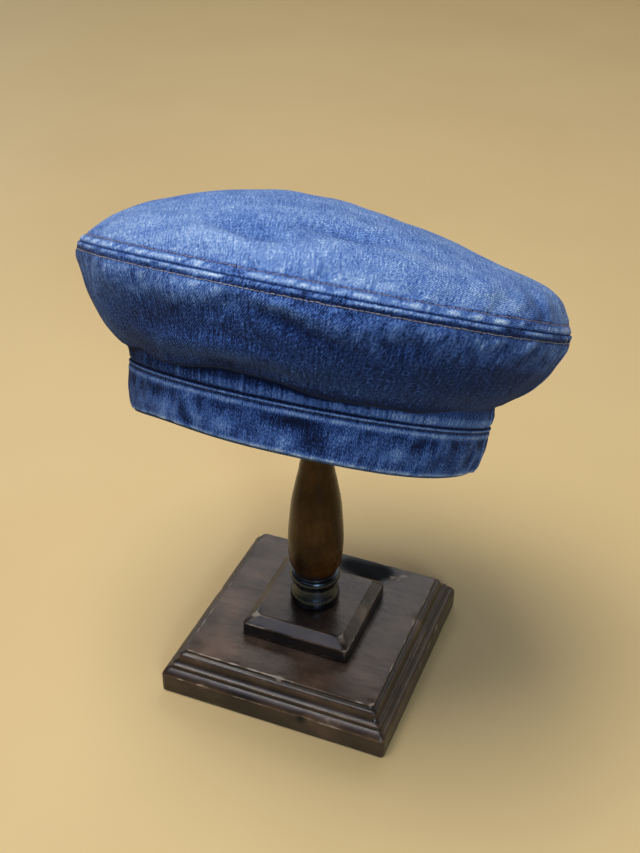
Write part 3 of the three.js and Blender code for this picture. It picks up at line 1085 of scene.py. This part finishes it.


# Stand: outline of the base and the plinth from the underside up to the top face, with how worn and how
# dark each line is: grime, and painted shade on the upright faces, in the crevices and on the plinth's top
# z, half, wear, grime
BASE_OUTLINE = [
    (0, 71, 0, 0.3),
    (0, 73, 0.1, 0.4),
    (0, 74, 0.2, 0.6),
    (0.9, 75, 0.3, 0.4),
    (1.4, 75, 0, 0.75),
    (12.9, 75, 0, 0.7),
    (13.4, 74.9, 0.3, 0.2),
    (13.8, 74.7, 0.55, 0),
    (14.3, 74.5, 0.2, 0.4),
    (15.2, 74, 0.1, 0.6),
    (16.3, 73.2, 0.1, 0.6),
    (17.2, 72, 0.1, 0.6),
    (17.6, 71.2, 0, 0.5),
    (17.8, 70.9, 0, 1),
    (18.2, 70.7, 0, 1),
    (19.4, 70.5, 0, 0.7),
    (19.8, 70.4, 0.35, 0.2),
    (20.1, 70, 0.45, 0.2),
    (20.3, 69.5, 0.1, 0.4),
    (20.6, 68.9, 0, 0.8),
    (21.3, 68.1, 0, 0.8),
    (22.6, 67.3, 0, 0.7),
    (24.2, 66.8, 0, 0.5),
    (25.2, 66.5, 0.1, 0.2),
    (25.7, 66.3, 0.3, 0.2),
    (26.2, 65.9, 0.1, 0.6),
    (26.6, 65.2, 0, 0.6),
    (26.9, 64.4, 0, 0.6),
    (27, 64, 0, 1),
    (27.2, 63.7, 0, 1),
    (28.2, 63.6, 0, 0.9),
    (28.5, 63.5, 0.4, 0.2),
    (28.8, 63.4, 0.65, 0),
    (29, 63, 0.65, 0),
    (29, 62.3, 0.2, 0),
    (29, 60.5, 0.1, 0),
    (29, 50, 0, 0),
    (29, 39, 0, 0),
    (29, 37.2, 0, 0.3),
    (29, 35.9, 0, 1),
    (29, 35, 0, 1),
    (29, 8, 0, 0),
]
PLINTH_OUTLINE = [
    (29.3, 35.2, 0.2, 0.8),
    (29.5, 35.6, 0.6, 0.3),
    (29.8, 35.7, 0.5, 0.5),
    (30.2, 35.7, 0, 1),
    (37, 35.7, 0, 1),
    (37.5, 35.6, 0.4, 0.4),
    (37.9, 35.5, 0.7, 0),
    (38.3, 35.1, 0.3, 0.2),
    (38.8, 34.5, 0.1, 0.5),
    (42, 30.6, 0.1, 0.5),
    (42.5, 30, 0.2, 0.2),
    (42.9, 29.5, 0.5, 0),
    (43, 29, 0.3, 0),
    (43, 28.2, 0, 0.3),
    (43, 6, 0, 0.3),
]

# Marks on the stand: the place, its reach, how worn it is, how dark it is (grime, and in the four rows on the
# base's top behind the plinth a painted dark reflection of the hat), and how deep a knock it is
# x, y, z, reach, wear, grime, depth
STAND_MARKS = [
    (38, 54, 29, 5, 0.7, 0, 0.2),
    (36, 53.5, 29, 1.6, 1.6, 0, 0.2),
    (40, 52, 29, 1.3, 1.6, 0, 0.2),
    (43.5, 57, 29, 1.5, 1.4, 0, 0.2),
    # Painted dark reflection of the hat on the base's top behind the plinth, darker and duller
    (29, 55, 29, 9, 0, 1.9, 0),
    (16, 53, 29, 11, 0, 1.9, 0),
    (2, 54, 29, 10, 0, 1.6, 0),
    (22, 43, 29, 8, 0, 1.2, 0),
    (21.5, -75, 12.4, 2.6, 0, 1, 1.1),
    (26, -74.6, 13.8, 4, 0.45, 0, 0.5),
    (38, -75, 11, 6, 0.22, 0, 0),
    (40, -73.2, 16.2, 14, 0.25, 0, 0),
    (36, -75, 4.5, 4, 0.25, 0, 0),
    (62.3, -62.3, 29, 2.2, 0.9, 0, 0.4),
    (-56, -63.2, 28.9, 7, 0.5, 0, 0.4),
    (-46, -75, 13.6, 3, 0.8, 0, 0.4),
    (2, -63.2, 28.9, 3, 0.8, 0, 0.3),
    (35.2, -35.2, 37, 3, 0.8, 0, 0.4),
    (-30, -30, 42.8, 3, 0.9, 0, 0.3),
    (30, -29.5, 42.8, 3.5, 0.8, 0, 0.3),
    (35.5, 2, 38, 6, 0.7, 0, 0.3),
    (63, 20, 29, 4, 0.8, 0, 0.3),
    (75, 34, 13.6, 3, 0.7, 0, 0.4),
    (-12, 75, 13.6, 4, 0.8, 0, 0.4),
    (-75, 10, 13.6, 4, 0.8, 0, 0.4),
]
LONGEST_ROW = 2.0
CORNER_RADIUS = 2.5
CORNER_STEPS = 8
EDGE_STEPS = 96
KNOCKED_DOWN_ABOVE = 20.0

# Turned post: radius at each height
# z, radius
POST_ROWS = [
    (43.3, 15.2),
    (46, 15.9),
    (50, 15.7),
    (53.5, 14.2),
    (57, 13),
    (60, 13.4),
    (61, 15.2),
    (63.5, 16),
    (66, 15),
    (67, 13.2),
    (70, 14.4),
    (75, 16.4),
    (83, 17.3),
    (94, 17.6),
    (106, 16.9),
    (121.6, 15.5),
    (136.8, 12.8),
    (148, 10.7),
    (165, 9.8),
    (240, 12),
    (258, 15),
]
ROUND_SIDES = 120
POST_STEPS = 180
POST_GROOVES = (43.3, 60.3, 67.0)
POST_BLACK_BELOW = 67.5

# Domed head that carries the crown, a ball cut flat underneath
HEAD_CENTRE = 270.0
HEAD_RADIUS = 44.1
HEAD_FOOT = 258.3
HEAD_FLAT = 17.0
HEAD_TOP_ANGLE = 88.0
HEAD_STEPS = 36
HEAD_ARRIS = 2.0
ARRIS_STEPS = 6


def square_ring(half):
    """Square outline with rounded corners, in even steps along each side."""
    inset = half - CORNER_RADIUS
    arc = np.radians(90 * np.arange(CORNER_STEPS) / CORNER_STEPS)
    corner = inset + CORNER_RADIUS * np.stack([np.cos(arc), np.sin(arc)], 1)
    side = np.linspace((inset, half), (-inset, half), EDGE_STEPS, endpoint=False)
    quarters = [np.concatenate([corner, side])]
    for _ in range(3):
        x, y = quarters[-1].T
        quarters.append(np.stack([-y, x], 1))
    return np.concatenate(quarters)


def closed_stack(name, rings, wear, grime, material, *nodes):
    """Closed solid through rings of equal count, ended by fans, with wear, and grime with painted shade, for
    each point.
    """
    fields = {"wear": np.append(wear, [0, 0]), "grime": np.append(grime, [0, 0])}
    piece = add_mesh(name, *capped(rings), Matrix.Identity(4), None, fields)
    return settle(piece, material, "stained_wood", *nodes)


def refined(outline):
    """Rows of an outline, split so that none is longer than the longest row."""
    rows = np.asarray(outline, float)
    made = [rows[:1]]
    for start, end in zip(rows[:-1], rows[1:]):
        steps = max(1, math.ceil(np.linalg.norm(end[:2] - start[:2]) / LONGEST_ROW))
        made.append(start + (end - start) * (np.arange(1, steps + 1) / steps)[:, None])
    return np.concatenate(made)


def build_square(name, outline, seed, material, node_name):
    """Moulded square block with nicked and rubbed arrises, and the marks that lie on it."""
    rings, wear, grime = [], [], []
    for z, half, rubbed, dirt_and_shade_level in refined(outline):
        ring = square_ring(half)
        flat = np.column_stack([ring, np.full(len(ring), z)])
        nick = ease(0.9, 2.2, soft_noise(flat, 26.0, seed) + 0.5 * soft_noise(flat, 7.0, seed + 1))
        uneven = 0.7 + 0.3 * soft_noise(flat, 40.0, seed + 2) + 0.3 * soft_noise(flat, 9.0, seed + 3)
        worn = np.clip(rubbed * uneven + 0.5 * rubbed * nick, 0, 1)
        dirt_and_shade = np.full(len(ring), dirt_and_shade_level)
        sunk = 0.45 * rubbed * nick
        for x, y, mark_z, reach, mark_wear, mark_grime_and_shade, depth in STAND_MARKS:
            near = bump(np.linalg.norm(flat - (x, y, mark_z), axis=1) / reach)
            worn += mark_wear * near * np.clip(uneven, 0.3, 1.2)
            dirt_and_shade = np.clip(dirt_and_shade + mark_grime_and_shade * near - mark_wear * near, 0, 2)
            sunk += depth * near
        flat[:, :2] *= (1 - sunk / half)[:, None]
        flat[:, 2] -= 0.7 * sunk * (z > KNOCKED_DOWN_ABOVE)
        rings.append(flat)
        wear.append(np.clip(worn, 0, 1.2))
        grime.append(dirt_and_shade)
    closed_stack(name, rings, np.concatenate(wear), np.concatenate(grime), material, node_name)


def round_rings(heights, radii):
    angles = np.arange(ROUND_SIDES) / ROUND_SIDES * 2 * np.pi
    x, y = np.outer(radii, np.cos(angles)), np.outer(radii, np.sin(angles))
    return np.stack([x, y, np.broadcast_to(heights[:, None], x.shape)], -1)


def build_post(material, foot_material):
    """Turned post with its vase-shaped shaft, and a foot and ring with a finish of their own."""
    heights, radii = read_table(POST_ROWS, np.linspace(0, 1, POST_STEPS)).T
    rings = round_rings(heights, radii)
    # Darker in the grooves and just above the black foot
    grime = sum(bump((heights - groove) / 0.9) for groove in POST_GROOVES)
    grime += bump((heights - POST_BLACK_BELOW) / 4.5) * (heights > POST_BLACK_BELOW)
    grime = np.repeat(np.clip(grime, 0, 1), ROUND_SIDES)
    piece = closed_stack("stand_post_turned", rings, np.zeros(len(grime)), grime, material, "stand_post")
    piece.data.materials.append(foot_material)
    for face in piece.data.polygons:
        face.material_index = int(face.center.z < POST_BLACK_BELOW * MM)


def build_head(material):
    """Plain domed head with a rounded lower arris."""
    lowest = math.asin((HEAD_FOOT + HEAD_ARRIS - HEAD_CENTRE) / HEAD_RADIUS)
    dome = np.linspace(lowest, math.radians(HEAD_TOP_ANGLE), HEAD_STEPS)
    dome_radii = HEAD_RADIUS * np.cos(dome)
    arris = np.radians(np.linspace(-90, -10, ARRIS_STEPS))
    arris_heights = HEAD_FOOT + HEAD_ARRIS * (1 + np.sin(arris))
    arris_radii = dome_radii[0] - HEAD_ARRIS + HEAD_ARRIS * np.cos(arris)
    heights = np.concatenate([[HEAD_FOOT], arris_heights, HEAD_CENTRE + HEAD_RADIUS * np.sin(dome)])
    radii = np.concatenate([[HEAD_FLAT], arris_radii, dome_radii])
    rings = round_rings(heights, radii)
    blank = np.zeros(rings.shape[:2])
    closed_stack("stand_head_domed", rings, blank, blank, material, "stand_head")


# Beret
denim = denim_material()
tan_thread = thread_material("tan_thread", (0.12, 0.106, 0.112), (0.36, 0.33, 0.32))
rose_thread = thread_material("rose_thread", (0.085, 0.068, 0.092), (0.34, 0.275, 0.305))
navy_thread = thread_material("navy_thread", (0.006, 0.01, 0.028), (0.03, 0.048, 0.105))

side = build_side(denim)
top = build_top(denim)
band = build_band(denim)
upper_run = stitch_run(*line_at(*top, UPPER_STITCH_AWAY), *UPPER_STITCHES, 71)
lower_run = stitch_run(*line_at(*side, LOWER_STITCH_AWAY), *LOWER_STITCHES, 72)
upper_cross = cross_run(*top, UPPER_STITCH_AWAY, 73)
lower_cross = cross_run(*side, LOWER_STITCH_AWAY, 74)
band_run = stitch_run(*line_at(*band, BAND_STITCH_AWAY), *BAND_STITCHES, 75)
add_stitches("upper_topstitch", [upper_run], rose_thread)
add_stitches("lower_topstitch", [lower_run], tan_thread)
add_stitches("join_stitches", [upper_cross, lower_cross], tan_thread)
add_stitches("band_stitches", [band_run], navy_thread)

# Stand
flat_wood = wood_material("stained_wood_flat", FLAT_GRAIN, FLAT_TONES, 0.45, (1.0, 0.99, 0.97))
turned_wood = wood_material("stained_wood_turned", TURNED_GRAIN, TURNED_TONES, 0.2, (1.0, 0.84, 0.66))
black_wood = wood_material("stained_wood_black", TURNED_GRAIN, BLACK_TONES, 0.8, (0.62, 0.78, 1.0))
build_square("stand_base_moulded", BASE_OUTLINE, 81, flat_wood, "stand_base")
build_square("stand_plinth_bevelled", PLINTH_OUTLINE, 91, flat_wood, "stand_plinth")
build_post(turned_wood, black_wood)
build_head(turned_wood)

# Floor, light and camera, in metres, degrees and watts
FLOOR_HALF = 3.0
FLOOR_STOPS = [(0.3, (0.54, 0.39, 0.175)), (0.7, (0.57, 0.42, 0.195))]
CAMERA_PLACE = (0.2183, -0.5556, 0.5754)
CAMERA_ANGLES = (56.2092, -0.7403, 21.7971)
CAMERA_LENS = 51.4
SENSOR_WIDTH = 36.0
WORLD_COLOUR = (0.8, 0.88, 1.0, 1)
WORLD_STRENGTH = 0.05

# name: place, target, size, power, colour
LIGHTS = {
    "overhead": ((-0.35, -0.25, 1.95), (0, 0, 0.2), (1.1, 1.1), 40.0, (1.0, 0.97, 0.93)),
    "front": ((0.95, -1.5, 0.95), (0, 0, 0.2), (0.35, 0.35), 14.0, (0.66, 0.82, 1.0)),
    "front_left": ((-0.85, -1.6, 2.1), (0, 0, 0), (1.2, 1.2), 10.0, (0.66, 0.7, 1.0)),
    "back_panel": ((-0.1, 2.3, 1.8), (0, 0, 0.2), (2.6, 1.2), 18.0, (1.0, 0.97, 0.97)),
    "side_panel": ((1.7, 1.7, 0.7), (0, 0, 0), (1.2, 0.6), 4.0, (1.0, 0.93, 0.8)),
    "left_panel": ((-1.9, 1.6, 1.1), (0, 0, 0.1), (1.2, 1.3), 7.0, (0.72, 0.84, 1.0)),
}


def add_floor():
    mesh = bpy.data.meshes.new("floor")
    corners = [(FLOOR_HALF * x, FLOOR_HALF * y, 0) for x, y in ((-1, -1), (1, -1), (1, 1), (-1, 1))]
    mesh.from_pydata(corners, [], [(0, 1, 2, 3)])
    material, tree, shader = new_material("pale_floor")
    cloud = noise(object_place(tree), 3.0, 3.0)
    set_inputs(shader, {"Base Color": ramp(cloud, FLOOR_STOPS), "Roughness": 0.6})
    mesh.materials.append(material)
    add_object("floor", mesh)


def add_light(name, place, target, size, power, colour):
    data = bpy.data.lights.new(name, "AREA")
    data.shape = "RECTANGLE"
    data.size, data.size_y = size
    data.energy = power
    data.color = colour
    light = add_object(name, data)
    light.location = place
    aim = Vector(target) - Vector(place)
    light.rotation_euler = aim.to_track_quat("-Z", "Y").to_euler()


def add_camera():
    data = bpy.data.cameras.new("camera")
    data.lens = CAMERA_LENS
    data.sensor_width = SENSOR_WIDTH
    data.clip_start = 0.01
    camera = add_object("camera", data)
    turned = Euler([math.radians(angle) for angle in CAMERA_ANGLES])
    camera.matrix_world = Matrix.LocRotScale(Vector(CAMERA_PLACE), turned, None)
    bpy.context.scene.camera = camera


add_floor()
for light_name, light_settings in LIGHTS.items():
    add_light(light_name, *light_settings)
add_camera()

scene = bpy.context.scene
world = bpy.data.worlds.new("studio")
scene.world = world
world.use_nodes = True
set_inputs(world.node_tree.nodes["Background"], {"Color": WORLD_COLOUR, "Strength": WORLD_STRENGTH})
scene.view_settings.view_transform = "Standard"
